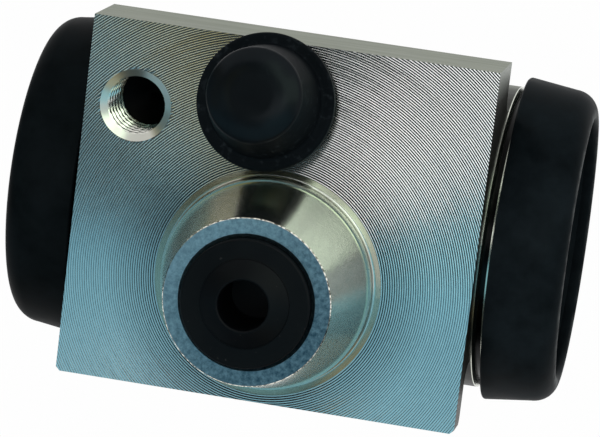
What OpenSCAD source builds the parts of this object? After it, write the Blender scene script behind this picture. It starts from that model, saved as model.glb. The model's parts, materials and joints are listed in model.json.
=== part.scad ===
// Hydraulic wheel cylinder of a drum brake.
// Millimetres. +X runs along the bore, +Z is up, and the mounting face looks towards -Y.
// The origin is the point where the axis of the inlet boss meets the mounting face.

/* [Mounting plate] */
// Width of the plate, along the bore
plate_w = 35.5; // [32:0.5:42]
// Height of the plate
plate_h = 31.7; // [30:0.1:38]
// Plate left below the relief groove of the boss
plate_lip = 0.7; // [0.4:0.1:3]
// Thickness of the flange above the barrel
top_flange_t = 7.2; // [6:0.1:8.5]
// Thickness of the flange below the barrel
bottom_flange_t = 2.7; // [2.4:0.1:4]
// Fillet between each flange and the barrel
web_fillet_r = 1.8; // [1:0.1:2.5]
// Rounding of the back edge of the lower flange
flange_edge_r = 1.2; // [0.5:0.1:2]
// Bevel of the plate's lower corners
corner_bevel = 0.35; // [0.1:0.05:1]

/* [Barrel] */
// Diameter of the bore
bore_d = 19.05; // [17.5:0.05:20.7]
// Wall of the barrel around the bore
barrel_wall = 3.975; // [3.5:0.025:5]
// Distance from the mounting face to the front of the barrel
barrel_setback = 1.5; // [1:0.1:3]
// Height of the bore axis above the boss axis
bore_rise = 4.2; // [3:0.1:6]
// How far each barrel end stands out of the plate's side
collar_out = 0.35; // [0.2:0.05:2]
// Bevel of the barrel's end edges
collar_bevel = 0.25; // [0.1:0.05:0.5]
// Step down from the barrel to the spigot that holds a boot
spigot_step = 0.6; // [0.4:0.05:1]
// Length of each spigot
spigot_l = 2.1; // [1.8:0.1:4]
// Step out from the bore to its widened mouth
mouth_step = 1.275; // [0.8:0.025:1.6]
// Length of the widened mouth, from the end of the spigot
mouth_l = 3.6; // [3:0.1:5]
// Bevel of the mouth's edge
mouth_bevel = 0.8; // [0.3:0.1:1]

/* [Boot groove in the spigot] */
// Distance from the barrel end to the groove
groove_inset = 0.6; // [0.5:0.05:0.8]
// Width of the groove
groove_w = 1; // [0.8:0.05:1.2]
// Depth of the groove
groove_depth = 0.7; // [0.4:0.05:0.8]

/* [Inlet boss] */
// Height of the boss above the mounting face
boss_h = 9.1; // [7:0.1:12]
// Diameter of the pilot at the root of the boss
pilot_d = 18.4; // [17:0.1:19]
// Height of the pilot above the mounting face
pilot_h = 1.2; // [0.8:0.1:3]
// Step from the pilot in to the cone
pilot_step = 0.15; // [0.05:0.05:0.5]
// Width of the relief groove around the pilot
relief_w = 0.75; // [0.5:0.05:1.2]
// Depth of the relief groove
relief_depth = 0.6; // [0.3:0.05:1.2]
// Width of the sloped outer side of the relief groove
relief_slope_w = 0.12; // [0.05:0.01:0.2]
// Width of the flat ring at the tip
tip_land = 1.36; // [0.8:0.01:1.8]
// Edge break around the tip
tip_bevel = 0.1; // [0.05:0.05:0.3]

/* [Inlet port] */
// Diameter of the port's wall, the core of its thread
port_d = 10.92; // [10:0.02:12]
// Depth of the port from the tip
port_depth = 10; // [8:0.1:10.5]
// Bevel at the mouth of the port
port_bevel = 0.45; // [0.4:0.01:0.8]
// Diameter of the passage from the port to the bore
inlet_passage_d = 3.2; // [2:0.1:4]

/* [Mounting thread] */
// Nominal diameter of the tapped hole
thread_d = 6; // [5:0.5:6.5]
// Depth of the tapped hole
thread_depth = 6.2; // [5:0.1:6.4]
// Distance of the hole's axis from the plate's left side
thread_side = 4.45; // [4:0.05:7]
// Distance of the hole's axis from the plate's upper edge
thread_drop = 7.4; // [5:0.1:9]
// Bevel at the mouth of the hole
thread_bevel = 0.2; // [0.1:0.05:0.8]

/* [Bleed screw] */
// Upward tilt of the screw from the plate's normal, in degrees
bleed_tilt = 13.5; // [8:0.5:18]
// Place of the screw along the bore, from the boss axis
bleed_x = -1.6; // [-2:0.1:2]
// How far the screw's axis passes inside the top of the bore
bleed_inset = 2.07; // [1.5:0.01:3]
// Diameter of the screw's hole, the core of its thread
bleed_hole_d = 6; // [5:0.1:7]
// Depth of the hole down to its conical seat
bleed_hole_depth = 5; // [4:0.1:5.5]
// Diameter of the passage from the seat to the bore
bleed_passage_d = 2; // [1.4:0.1:2]
// Gap between the hexagon's lowest corner and the face, along the screw
hex_gap = 0.48; // [0.3:0.02:1]
// Width of the hexagon across its flats
hex_af = 7; // [6:0.1:7.1]
// Height of the hexagon
hex_h = 2.7; // [2:0.1:3.5]
// Diameter of the nipple's barb
nipple_d = 6; // [5:0.1:6.4]
// Diameter of the nipple's waist below the barb
nipple_waist_d = 4.6; // [4:0.1:4.8]
// Length of the nipple above the hexagon
nipple_l = 3.4; // [3.2:0.1:6]
// Length of the barb, and of the slope above and below it
barb_l = 1; // [0.6:0.1:1]
// Diameter of the drilling down the screw
screw_drill_d = 1.8; // [1.2:0.1:2]
// Diameter of the cross drilling above the screw's tip
cross_drill_d = 1.4; // [1:0.1:1.6]
// Clearance between the screw and its hole
screw_clearance = 0.05; // [0.02:0.01:0.1]

/* [Bleed cap] */
// Gap between the cap's lowest edge and the face, along the screw
cap_gap = 0.29; // [0.25:0.01:1]
// Diameter of the rim
cap_rim_d = 11.9; // [11:0.1:12.6]
// Thickness of the rim
cap_rim_t = 1.2; // [0.8:0.1:2]
// Wall around the hexagon, at the root of the dome
cap_root_wall = 0.75; // [0.6:0.05:1.2]
// Wall around the nipple, at the shoulder
cap_shoulder_wall = 1.05; // [0.8:0.05:1.3]
// Rounding of the shoulder
cap_shoulder_round = 0.45; // [0.2:0.05:0.6]
// Thickness of the crown over the nipple
cap_crown_t = 1.65; // [1.3:0.05:2.5]
// Diameter of the flat middle of the crown
cap_crown_d = 3.2; // [2:0.1:4]
// Slope of the crown where it meets the shoulder, in degrees
cap_crown_slope = 30; // [15:1:40]
// Rounding of the rim's edges
cap_edge_r = 0.3; // [0.1:0.05:0.5]
// Clearance between the cap and the screw
cap_clearance = 0.06; // [0.02:0.01:0.1]

/* [Port plug] */
// How far the plug's head overlaps the port's wall
plug_overlap = 0.21; // [0.1:0.01:0.4]
// Clearance between the plug's shank and the port
plug_clearance = 0.05; // [0.02:0.01:0.1]
// Gap between the plug's head and the bevel under it
plug_seat_gap = 0.15; // [0.1:0.01:0.3]
// Bevel of the plug's edges
plug_bevel = 0.2; // [0.1:0.01:0.3]
// Height of the plug's head above the tip of the boss
plug_proud = 0.8; // [0.4:0.1:2]
// Length of the shank below the tip
plug_l = 7; // [4:0.1:8]
// Diameter of the raised hub
plug_hub_d = 7.7; // [6:0.1:9]
// Rise of the hub above the head
plug_hub_rise = 0.75; // [0.3:0.05:1.5]
// Diameter of the blind hole in the hub
plug_hole_d = 4.3; // [3:0.1:5]
// Depth of the blind hole
plug_hole_depth = 6; // [3:0.1:6.5]

/* [Pistons] */
// Clearance between a piston and the bore
piston_clearance = 0.025; // [0.01:0.005:0.08]
// Bevel of the piston's edges
piston_bevel = 0.5; // [0.2:0.1:1]
// Diameter of the slotted nose
nose_d = 14; // [12:0.1:15]
// Length of the nose beyond the boot's bead
nose_l = 4.8; // [4.5:0.1:7]
// Width of the slot for the brake shoe's web
slot_w = 5; // [4.4:0.1:6]
// Depth of the slot
slot_depth = 4.3; // [4.2:0.1:4.6]
// How far the nose lies inside the rim of the boot
nose_recess = 1.1; // [0.2:0.1:2]
// Depth of the neck's groove, which holds the boot's bead
neck_depth = 0.5; // [0.3:0.05:1]
// Width of the neck's groove
neck_w = 1.6; // [1.2:0.1:2]
// Length of the shoulder between the piston's skirt and the groove
shoulder_l = 0.7; // [0.5:0.1:1.5]

/* [Cup seals] */
// Thickness of a cup's floor
cup_floor_t = 2; // [1.5:0.1:3]
// Height of a cup's lip above its floor
cup_lip_h = 2.2; // [1.5:0.1:2.4]
// Thickness of the lip at the floor
cup_lip_root_t = 2; // [1.4:0.1:2.5]
// Thickness of the lip at its edge
cup_lip_edge_t = 0.9; // [0.5:0.1:1.2]

/* [Cup expanders] */
// Sheet thickness of an expander
expander_t = 0.5; // [0.3:0.05:0.8]
// Gap between the expander's flare and the cup's lip
expander_gap = 0.2; // [0.1:0.05:0.4]
// Length of the flare along the bore
expander_h = 2; // [1.5:0.1:2.2]

/* [Return spring] */
// Length of the spring between the expanders
spring_l = 9.2; // [8.5:0.1:11]
// Mean diameter of the coil
spring_d = 7.6; // [6:0.1:8]
// Diameter of the wire
spring_wire = 0.9; // [0.6:0.1:1.1]
// Turns of the coil
spring_turns = 4.5; // [3:0.5:6]
// How far the end turns close up, from 0 for an even coil to 1
spring_closing = 0.6; // [0:0.1:0.9]
// Clearance at each end of the spring
spring_gap = 0.1; // [0.05:0.05:0.3]

/* [Boots] */
// Length of a boot from its lip to its rim
boot_l = 6; // [5.6:0.1:7]
// How far the boot's lip stands out from the barrel's side
boot_stand = 0.95; // [0.5:0.05:1.3]
// Gap between the barrel end and the boot's lip
boot_lip_gap = 0.3; // [0.2:0.05:0.4]
// Thickness of the boot's skirt
boot_wall = 1.35; // [1:0.05:1.45]
// Taper of the skirt, from lip to shoulder
boot_taper = 0.5; // [0.2:0.05:0.8]
// Radius of the rounded shoulder
boot_shoulder_r = 2; // [1.2:0.1:2.4]
// Radius of the rim's inner edge
boot_rim_r = 0.5; // [0.3:0.05:0.6]
// Depth of the upright wall inside the rim
boot_rim_depth = 1; // [0.7:0.1:1.5]
// Thickness of the funnel between the rim and the bead
boot_funnel_t = 1; // [0.7:0.05:1.2]
// Radial thickness of the bead on the piston's neck
bead_t = 2; // [1.4:0.1:2.2]
// Clearance of the boot on the spigot and on the neck
boot_clearance = 0.08; // [0.03:0.01:0.15]

/* [Hidden] */
$fn = 96;
// Overrun of a cut past the face that it opens
cut = 1;
// Depth of the cone that a drill leaves, for each millimetre of its radius
drill_cone = 0.5;
// Sides of the spring's wire, and steps in each of its turns
wire_sides = 8;
turn_steps = 16;

bore_r = bore_d / 2;
barrel_r = bore_r + barrel_wall;
bore_y = barrel_r + barrel_setback;
relief_r = pilot_d / 2 + relief_w;
plate_bottom = -relief_r - plate_lip;
plate_top = plate_bottom + plate_h;

// Stations along the bore, from the middle of the barrel to the right
collar_s = plate_w / 2 + collar_out;
spigot_s = collar_s + spigot_l;
groove_s = collar_s + groove_inset;
lip_s = collar_s + boot_lip_gap;
rim_s = lip_s + boot_l;
nose_s = rim_s - nose_recess;
neck_out_s = nose_s - nose_l;
neck_in_s = neck_out_s - neck_w;
skirt_s = neck_in_s - shoulder_l;
expander_s = spring_l / 2 + spring_gap;
cup_s = expander_s + expander_t;
piston_s = cup_s + cup_floor_t;

spigot_r = barrel_r - spigot_step;
groove_r = spigot_r - groove_depth;
mouth_r = bore_r + mouth_step;
piston_r = bore_r - piston_clearance;
boot_r = barrel_r + boot_stand;

port_r = port_d / 2;
port_mouth_r = port_r + port_bevel;
tip_r = port_mouth_r + tip_land;
thread_x = -plate_w / 2 + thread_side;
thread_z = plate_top - thread_drop;

bleed_z = bore_rise + (bore_r - bleed_inset + bore_y * sin(bleed_tilt)) / cos(bleed_tilt);
// Distance down the bleed axis to the point nearest the bore axis
bleed_reach = bore_y * cos(bleed_tilt) + (bleed_z - bore_rise) * sin(bleed_tilt);
hex_r = hex_af / sqrt(3);
hex_base = hex_r * tan(bleed_tilt) + hex_gap;
hex_top = hex_base + hex_h;
nipple_top = hex_top + nipple_l;

nose_r = nose_d / 2;
neck_r = nose_r - neck_depth;

// Places of the moving and turned pieces
module on_bore() {
    translate([0, bore_y, bore_rise]) rotate([0, 90, 0]) children();
}

module left_side() {
    mirror([1, 0, 0]) children();
}

module on_boss() {
    rotate([90, 0, 0]) children();
}

module on_bleed() {
    translate([bleed_x, 0, bleed_z]) rotate([90 - bleed_tilt, 0, 0]) children();
}

// Points of an arc about a centre, from one angle to another
function arc(centre, r, from, to, steps = 8) =
    [for (i = [0:steps]) let (a = from + (to - from) * i / steps) centre + r * [cos(a), sin(a)]];

// Section of the body across the bore: two flanges on a round barrel
module flange_fillet(flange_t, side) {
    reach = bore_y - flange_t - web_fillet_r;
    rise = sqrt(pow(barrel_r + web_fillet_r, 2) - pow(reach, 2));
    centre = [flange_t + web_fillet_r, bore_rise + side * rise];
    difference() {
        polygon([[flange_t / 2, bore_rise], [flange_t / 2, centre.y], centre, [bore_y, bore_rise]]);
        translate(centre) circle(r = web_fillet_r);
    }
}

module body_section() {
    translate([bore_y, bore_rise]) circle(r = barrel_r);
    translate([0, bore_rise]) square([top_flange_t, plate_top - bore_rise]);
    polygon(concat(
        [[0, bore_rise], [0, plate_bottom], [bottom_flange_t - flange_edge_r, plate_bottom]],
        arc([bottom_flange_t - flange_edge_r, plate_bottom + flange_edge_r], flange_edge_r, -90, 0),
        [[bottom_flange_t, bore_rise]]));
    flange_fillet(top_flange_t, 1);
    flange_fillet(bottom_flange_t, -1);
}

module lower_corner_cuts() {
    for (side = [-1, 1])
        translate([side * plate_w / 2, 0, plate_bottom])
            rotate([0, 45, 0])
                cube([corner_bevel * sqrt(2), 2 * (bottom_flange_t + cut), corner_bevel * sqrt(2)],
                    center = true);
}

// Barrel with a grooved spigot at each end
module barrel_half() {
    rotate_extrude() polygon([
        [0, 0], [barrel_r, 0], [barrel_r, collar_s - collar_bevel], [barrel_r - collar_bevel, collar_s],
        [spigot_r, collar_s], [spigot_r, groove_s], [groove_r, groove_s], [groove_r, groove_s + groove_w],
        [spigot_r, groove_s + groove_w], [spigot_r, spigot_s], [0, spigot_s]]);
}

module bore_cut() {
    mouth_floor = spigot_s - mouth_l;
    rotate_extrude() polygon([
        [0, -cut], [bore_r, -cut], [bore_r, mouth_floor], [mouth_r, mouth_floor],
        [mouth_r, spigot_s - mouth_bevel], [mouth_r + mouth_bevel, spigot_s],
        [mouth_r + mouth_bevel, spigot_s + cut], [0, spigot_s + cut]]);
}

module boss() {
    rotate_extrude() polygon([
        [0, -barrel_setback], [pilot_d / 2, -barrel_setback], [pilot_d / 2, pilot_h],
        [pilot_d / 2 - pilot_step, pilot_h], [tip_r, boss_h - tip_bevel], [tip_r - tip_bevel, boss_h],
        [0, boss_h]]);
}

module relief_cut() {
    rotate_extrude() polygon([
        [pilot_d / 2, -relief_depth], [relief_r - relief_slope_w, -relief_depth],
        [relief_r, 0], [relief_r, cut], [pilot_d / 2, cut]]);
}

module port_cut() {
    floor_s = boss_h - port_depth;
    passage_r = inlet_passage_d / 2;
    rotate_extrude() polygon([
        [0, -bore_y], [passage_r, -bore_y], [passage_r, floor_s - (port_r - passage_r)],
        [port_r, floor_s], [port_r, boss_h - port_bevel], [port_mouth_r, boss_h],
        [port_mouth_r, boss_h + cut], [0, boss_h + cut]]);
}

module thread_cut() {
    r = thread_d / 2;
    translate([thread_x, 0, thread_z]) rotate([90, 0, 0]) rotate_extrude() polygon([
        [0, -thread_depth - r * drill_cone], [r, -thread_depth], [r, -thread_bevel],
        [r + thread_bevel, 0], [r + thread_bevel, cut], [0, cut]]);
}

module bleed_cut() {
    r = bleed_hole_d / 2;
    passage_r = bleed_passage_d / 2;
    mouth = r * tan(bleed_tilt) + cut;
    rotate_extrude() polygon([
        [0, -bleed_reach], [passage_r, -bleed_reach], [passage_r, -bleed_hole_depth - (r - passage_r)],
        [r, -bleed_hole_depth], [r, mouth], [0, mouth]]);
}

// Sub-parts
module body() {
    color([0.66, 0.68, 0.69])
    difference() {
        union() {
            difference() {
                rotate([90, 0, 90]) linear_extrude(plate_w, center = true) body_section();
                on_boss() relief_cut();
                lower_corner_cuts();
            }
            on_bore() barrel_half();
            left_side() on_bore() barrel_half();
            on_boss() boss();
        }
        on_bore() bore_cut();
        left_side() on_bore() bore_cut();
        on_boss() port_cut();
        thread_cut();
        on_bleed() bleed_cut();
    }
}

module piston() {
    color([0.30, 0.31, 0.32])
    difference() {
        on_bore() rotate_extrude() polygon([
            [0, piston_s], [piston_r - piston_bevel, piston_s], [piston_r, piston_s + piston_bevel],
            [piston_r, skirt_s - piston_bevel], [piston_r - piston_bevel, skirt_s], [nose_r, skirt_s],
            [nose_r, neck_in_s], [neck_r, neck_in_s], [neck_r, neck_out_s], [nose_r, neck_out_s],
            [nose_r, nose_s - piston_bevel], [nose_r - piston_bevel, nose_s], [0, nose_s]]);
        translate([nose_s - slot_depth, bore_y - slot_w / 2, bore_rise - nose_d])
            cube([slot_depth + cut, slot_w, 2 * nose_d]);
    }
}

module cup() {
    edge_s = cup_s - cup_lip_h;
    color([0.10, 0.10, 0.11])
    on_bore() rotate_extrude() polygon([
        [0, cup_s], [piston_r - cup_lip_root_t, cup_s], [piston_r - cup_lip_edge_t, edge_s],
        [piston_r, edge_s], [piston_r, piston_s], [0, piston_s]]);
}

module expander() {
    base_r = piston_r - cup_lip_root_t - expander_gap;
    flare_r = base_r + expander_h * (cup_lip_root_t - cup_lip_edge_t) / cup_lip_h;
    color([0.72, 0.73, 0.74])
    on_bore() rotate_extrude() polygon([
        [0, cup_s], [base_r, cup_s], [flare_r, cup_s - expander_h],
        [flare_r - expander_t, cup_s - expander_h], [base_r - expander_t, expander_s], [0, expander_s]]);
}

// Wire swept along a coil whose end turns close up
function coil_rise(t) = (spring_l - spring_wire) * (t - spring_closing * sin(360 * t) / (2 * PI));
function coil_point(t, i) =
    let (turn = 360 * spring_turns * t, around = 360 * i / wire_sides,
        r = spring_d / 2 + spring_wire / 2 * cos(around))
    [r * cos(turn), r * sin(turn), coil_rise(t) + spring_wire / 2 * (1 + sin(around)) - spring_l / 2];

module return_spring() {
    rings = round(turn_steps * spring_turns);
    last = wire_sides - 1;
    points = [for (k = [0:rings], i = [0:last]) coil_point(k / rings, i)];
    walls = [for (k = [0:rings - 1], i = [0:last])
        let (j = (i + 1) % wire_sides, near = k * wire_sides, far = near + wire_sides)
        [near + i, far + i, far + j, near + j]];
    ends = [[for (i = [0:last]) i], [for (i = [last:-1:0]) rings * wire_sides + i]];
    color([0.75, 0.76, 0.78])
    on_bore() polyhedron(points, concat(walls, ends));
}

// Boot: skirt over the spigot, rounded shoulder, rim and a funnel down to the piston's neck
module boot() {
    seat_r = spigot_r + boot_clearance;
    hook_r = groove_r + boot_clearance;
    hook_in = groove_s + boot_clearance;
    hook_out = groove_s + groove_w - boot_clearance;
    shoulder_r = boot_r - boot_taper;
    rim_r = shoulder_r - boot_shoulder_r;
    shelf_s = rim_s - boot_rim_depth;
    bead_in = neck_in_s + boot_clearance;
    bead_out = neck_out_s - boot_clearance;
    bead_r = neck_r + boot_clearance;
    funnel_top = [rim_r - boot_rim_r, shelf_s];
    funnel_foot = [bead_r + bead_t, bead_out];
    funnel = funnel_top - funnel_foot;
    under = boot_funnel_t * [funnel.y, -funnel.x] / norm(funnel);
    color([0.07, 0.07, 0.08])
    on_bore() rotate_extrude() polygon(concat(
        [[seat_r, lip_s], [boot_r, lip_s]],
        arc([rim_r, rim_s - boot_shoulder_r], boot_shoulder_r, 0, 90),
        arc([rim_r, rim_s - boot_rim_r], boot_rim_r, 90, 180, 4),
        [funnel_top, funnel_foot, [bead_r, bead_out], [bead_r, bead_in], [bead_r + bead_t, bead_in],
         funnel_foot + under, funnel_top + under,
         [shoulder_r - boot_wall, rim_s - boot_shoulder_r], [seat_r, spigot_s + boot_clearance],
         [seat_r, hook_out], [hook_r, hook_out], [hook_r, hook_in], [seat_r, hook_in]]));
}

module bleed_screw() {
    r = bleed_hole_d / 2 - screw_clearance;
    tip_depth = bleed_hole_depth - screw_clearance;
    tip_end_r = bleed_passage_d / 2 - screw_clearance;
    drill_end = tip_depth - cross_drill_d;
    color([0.78, 0.77, 0.72])
    on_bleed() difference() {
        union() {
            rotate_extrude() polygon([
                [0, -tip_depth - (r - tip_end_r)], [tip_end_r, -tip_depth - (r - tip_end_r)],
                [r, -tip_depth], [r, hex_base], [nipple_waist_d / 2, hex_base],
                [nipple_waist_d / 2, nipple_top - 3 * barb_l], [nipple_d / 2, nipple_top - 2 * barb_l],
                [nipple_d / 2, nipple_top - barb_l], [nipple_waist_d / 2, nipple_top], [0, nipple_top]]);
            translate([0, 0, hex_base]) cylinder(h = hex_h, r = hex_r, $fn = 6);
        }
        translate([0, 0, -drill_end]) cylinder(h = drill_end + nipple_top + cut, d = screw_drill_d);
        translate([0, 0, -drill_end]) rotate([0, 90, 0])
            cylinder(h = 2 * bleed_hole_d, d = cross_drill_d, center = true);
    }
}

module bleed_cap() {
    rim_r = cap_rim_d / 2 - cap_edge_r;
    cap_base = cap_rim_d / 2 * tan(bleed_tilt) + cap_gap;
    rim_top = cap_base + cap_rim_t;
    socket_r = hex_r + cap_clearance;
    root_r = socket_r + cap_root_wall;
    nipple_hole_r = nipple_d / 2 + cap_clearance;
    shoulder_r = nipple_hole_r + cap_shoulder_wall - cap_shoulder_round;
    crown_in = nipple_top + cap_clearance;
    crown_top = crown_in + cap_crown_t;
    crown_r = cap_crown_d / 2;
    crown_edge_r = shoulder_r + cap_shoulder_round * sin(cap_crown_slope);
    dome_r = (crown_edge_r - crown_r) / sin(cap_crown_slope);
    shoulder_s = crown_top - dome_r + (dome_r - cap_shoulder_round) * cos(cap_crown_slope);
    color([0.09, 0.09, 0.10])
    on_bleed() rotate_extrude() polygon(concat(
        [[socket_r, cap_base]],
        arc([rim_r, cap_base + cap_edge_r], cap_edge_r, -90, 0, 4),
        arc([rim_r, rim_top - cap_edge_r], cap_edge_r, 0, 90, 4),
        arc([root_r + cap_edge_r, rim_top + cap_edge_r], cap_edge_r, 270, 180, 4),
        arc([shoulder_r, shoulder_s], cap_shoulder_round, 0, 90 - cap_crown_slope, 4),
        arc([crown_r, crown_top - dome_r], dome_r, 90 - cap_crown_slope, 90, 6),
        [[0, crown_top], [0, crown_in], [nipple_hole_r, crown_in],
         [nipple_hole_r, hex_top + cap_clearance], [socket_r, hex_top + cap_clearance]]));
}

module port_plug() {
    head_r = port_r + plug_overlap;
    shank_r = port_r - plug_clearance;
    hub_r = plug_hub_d / 2;
    hole_r = plug_hole_d / 2;
    shank_end = boss_h - plug_l;
    head_seat = boss_h - (port_bevel - plug_overlap) + plug_seat_gap;
    head_top = boss_h + plug_proud;
    hub_top = head_top + plug_hub_rise;
    color([0.06, 0.06, 0.07])
    on_boss() rotate_extrude() polygon([
        [0, shank_end], [shank_r - plug_bevel, shank_end], [shank_r, shank_end + plug_bevel],
        [shank_r, head_seat], [head_r, head_seat], [head_r, head_top - plug_bevel],
        [head_r - plug_bevel, head_top], [hub_r, head_top - plug_bevel], [hub_r, head_top],
        [hole_r, hub_top], [hole_r, hub_top - plug_hole_depth], [0, hub_top - plug_hole_depth]]);
}

module piston_left() { left_side() piston(); }
module piston_right() { piston(); }
module cup_left() { left_side() cup(); }
module cup_right() { cup(); }
module expander_left() { left_side() expander(); }
module expander_right() { expander(); }
module boot_left() { left_side() boot(); }
module boot_right() { boot(); }

body();
piston_left();
piston_right();
cup_left();
cup_right();
expander_left();
expander_right();
return_spring();
boot_left();
boot_right();
bleed_screw();
bleed_cap();
port_plug();
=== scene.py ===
"""Looks of a drum-brake wheel cylinder: turned light alloy, moulded rubber and a black transport plug."""

import json
import math
import random

import bmesh
import bpy
from mathutils import Matrix, Vector


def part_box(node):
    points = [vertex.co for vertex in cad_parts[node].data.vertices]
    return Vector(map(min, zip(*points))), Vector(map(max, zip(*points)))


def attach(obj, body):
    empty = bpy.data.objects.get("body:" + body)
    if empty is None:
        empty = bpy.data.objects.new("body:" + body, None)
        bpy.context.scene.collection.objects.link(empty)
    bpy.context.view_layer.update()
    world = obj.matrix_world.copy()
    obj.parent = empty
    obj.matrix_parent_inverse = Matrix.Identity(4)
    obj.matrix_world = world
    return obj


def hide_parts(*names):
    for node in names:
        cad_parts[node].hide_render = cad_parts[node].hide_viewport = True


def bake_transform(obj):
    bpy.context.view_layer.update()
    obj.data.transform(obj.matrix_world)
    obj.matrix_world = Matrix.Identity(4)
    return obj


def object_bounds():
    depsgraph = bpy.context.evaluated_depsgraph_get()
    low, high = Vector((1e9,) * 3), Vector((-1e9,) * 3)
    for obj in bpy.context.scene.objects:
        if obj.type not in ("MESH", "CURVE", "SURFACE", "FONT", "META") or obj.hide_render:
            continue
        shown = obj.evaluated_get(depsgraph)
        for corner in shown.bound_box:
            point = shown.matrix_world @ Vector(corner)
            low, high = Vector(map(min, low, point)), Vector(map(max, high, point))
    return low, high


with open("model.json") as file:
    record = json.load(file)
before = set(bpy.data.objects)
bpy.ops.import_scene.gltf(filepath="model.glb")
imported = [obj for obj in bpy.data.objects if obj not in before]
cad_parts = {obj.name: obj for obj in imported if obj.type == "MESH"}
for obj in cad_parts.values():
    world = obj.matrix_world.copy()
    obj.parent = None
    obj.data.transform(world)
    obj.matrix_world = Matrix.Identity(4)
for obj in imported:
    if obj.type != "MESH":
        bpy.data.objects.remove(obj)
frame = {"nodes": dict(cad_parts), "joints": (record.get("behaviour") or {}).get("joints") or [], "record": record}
CAD_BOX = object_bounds()
MM = 0.001
SEED = 7

# Places that the frame gives
MOUNTS = {m["name"]: m for m in frame["record"]["mounts"]}
JOINTS = {j["name"]: j for j in frame["joints"]}
PILOT_R = MOUNTS["pilot"]["dims"]["r_mm"]
THREAD_X, _, THREAD_Z = [c / MM for c in MOUNTS["mounting_thread"]["pos_m"]]
PISTON_LOW, PISTON_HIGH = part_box("piston_right")
BORE_Y = (PISTON_LOW.y + PISTON_HIGH.y) / 2 / MM
BORE_Z = (PISTON_LOW.z + PISTON_HIGH.z) / 2 / MM
BLEED_POINT = Vector(JOINTS["bleed_screw_turn"]["pos_m"]) / MM
BLEED_AXIS = Vector(JOINTS["bleed_screw_turn"]["axis"])
BODY_LOW, BODY_HIGH = (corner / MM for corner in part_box("body"))
BOSS_TOP = -BODY_LOW.y
BOOT_LOW, BOOT_HIGH = (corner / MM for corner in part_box("boot_right"))
PLUG_LOW, PLUG_HIGH = (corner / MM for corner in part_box("port_plug"))

# Sizes of the dressed mounting face, in millimetres
PLATE_HALF_W = 17.75
PLATE_BEVEL = 0.35
RELIEF_R = 9.95
GROOVE_PITCH = 0.203
STRIP_SHARES = (0.42, 0.34)
STRIP_TILTS = (1.0, 14.0)
STRIP_WIDTHS = [share * GROOVE_PITCH for share in STRIP_SHARES]
STRIP_DEPTHS = [w * math.tan(math.radians(tilt)) for w, tilt in zip(STRIP_WIDTHS, STRIP_TILTS)]
GROOVE_DEPTH = sum(STRIP_DEPTHS)
DEEP_MARKS = 4.5
DEEP_NARROWING = 0.25
FACE_STANDOFF = 0.004
FACE_ALLOWANCE = 1.2
FACE_FRONT = FACE_STANDOFF + FACE_ALLOWANCE * GROOVE_DEPTH
THREAD_MOUTH_R = 3.14
THREAD_MOUTH_DEPTH = 0.35

# Where one finish, painted shade or painted light ends and the next begins, in millimetres
ZONE_EDGE = 0.02
SIDE_EDGE = 0.005
BOSS_BACK = 0.7
TIP_MOUTH_R = 6.2
TIP_MOUTH_DEPTH = 0.5
TIP_EDGE_DEPTH = 0.11
TIP_LIGHT_SPAN = (-9, 9)
HOLE_DARK_R = 3.3
HOLE_DARK_FROM = 0.3
DRILL_POINT_SPAN = (6.25, 7.8)
CORNER_R = 13.1
CORNER_SHADE_SPAN = (18.50, 18.55)
SAWN_SHADE_SPAN = (18.2, 20.6)
BARREL_R = 13.7
BARREL_DARK_SPAN = (15.6, 16.8)
BARREL_DARK_BACK = (13, 17)
ROOT_SHADE_SPAN = (2.80, 2.92)
DEEP_SHADE_SPAN = (5.7, 6.1)
RIM_LINE_R = 12.1
RIM_LINE_S = 23.6
RIM_LINE_SPAN = (0.10, 0.60)
CROWN_SPAN = (8.2, 8.6)

# Fine lines, in steps per metre or per radian
DRAWN_ALONG = 60
DRAWN_ACROSS = 5000
TURNED_LINES = 9000
LATHE_LINES = 16000
LATHE_STREAKS = 14
STEEL_LINES = 8000
SHEET_LINES = 1500
STEEL_ACROSS = 700

# Ranges of the noise that each pattern uses
NOISE_SPAN = (0.3, 0.7)
BLOOM_SPAN = (0.35, 0.75)
BOOT_BLOOM_SPAN = (0.30, 0.75)
BURR_SPAN = (0.42, 0.58)
TIP_PATCH_SPAN = (0.35, 0.65)
RIM_SCUFF_SPAN = (0.40, 0.62)
CAP_SCUFF_SPAN = (0.56, 0.74)
SPECK_LEVEL = 0.74

# Shares of a pattern, painted shade or painted light in its finish
BOSS_LINE_SHARE = 0.25
BARREL_SHADE_SHARE = 0.93
TIP_LIGHT_SHARE = 0.5
SPECK_SHARE = 0.35
RIM_WEAR_AND_HIGHLIGHT_SHARE = 0.8
CAP_SCUFF_SHARE = 0.6

# Roughness and gloss
DRAWN_ROUGH = (0.38, 0.52)
TURNED_ROUGH = 0.21
TIP_ROUGH = 0.46
THREAD_MOUTH_ROUGH = 0.28
THREAD_ROUGH = 0.18
LATHE_ROUGH_RANGE = 0.04
STEEL_ROUGH_RANGE = 0.12
BLOOM_SMOOTHER, BLOOM_ROUGHER = 0.05, 0.08
BOOT_ROUGH = (0.37, 0.50)
CAP_SIDE_ROUGH = (0.52, 0.64)
CAP_CROWN_ROUGH = (0.22, 0.28)
RUBBER_GLOSS = 0.08
BOOT_GLOSS = 0.010
CAP_SIDE_GLOSS = 0.03
CAP_CROWN_GLOSS = 0.11


# Mesh helpers
AXIS_TOLERANCE = 1e-6
MERGE_DISTANCE = 1e-7
LATHE_SHARP_DEG = 50


def turn_angle(k, steps):
    """Angle of one step of a full turn."""
    return 2 * math.pi * k / steps


def arc(centre, radius, start, end, steps=8):
    """Points of an arc, with the angles in degrees."""
    angles = [math.radians(start + (end - start) * i / steps) for i in range(steps + 1)]
    return [(centre[0] + radius * math.cos(a), centre[1] + radius * math.sin(a)) for a in angles]


def axis_matrix(origin, direction):
    """Places a part turned about +Z so that its axis runs along a direction, in millimetres."""
    turn = Vector(direction).normalized().to_track_quat("Z", "X").to_matrix().to_4x4()
    return Matrix.Translation(Vector(origin)) @ turn


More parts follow.
